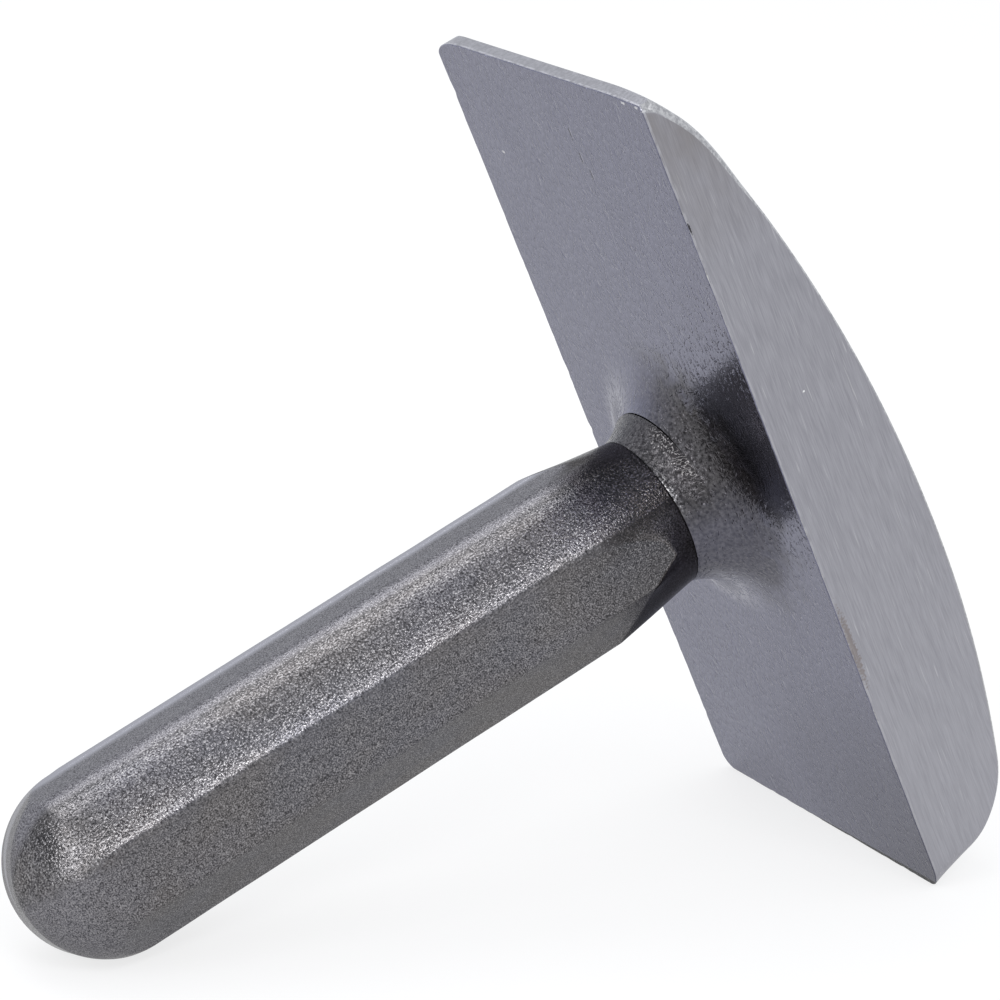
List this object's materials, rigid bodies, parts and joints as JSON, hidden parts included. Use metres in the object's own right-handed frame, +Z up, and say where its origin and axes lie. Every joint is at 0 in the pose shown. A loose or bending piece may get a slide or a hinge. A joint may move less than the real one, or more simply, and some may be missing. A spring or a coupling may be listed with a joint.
{
  "type": "panel beating dolly",
  "caption": "Hand held forged steel dolly: crowned block with a flat ground side on a stubby octagonal handle, for beating sheet metal against.",
  "frame": {"origin": "centre of the part's footprint box on the table it rests on, at table height", "axes": "+X across the lean, from the handle's round end towards the crowned face; +Y from the ground side towards the forged side; +Z up from the table"},
  "size_m": [0.1406, 0.058, 0.1171],
  "materials": {
    "forged_head": "lacquered forged steel with one ground side",
    "blasted_handle": "dark blasted steel",
    "dressed_weld": "dressed and lacquered weld"
  },
  "bodies": {
    "root": {"head": "forged_head", "handle": "blasted_handle", "weld_collar": "dressed_weld"}
  },
  "joints": []
}
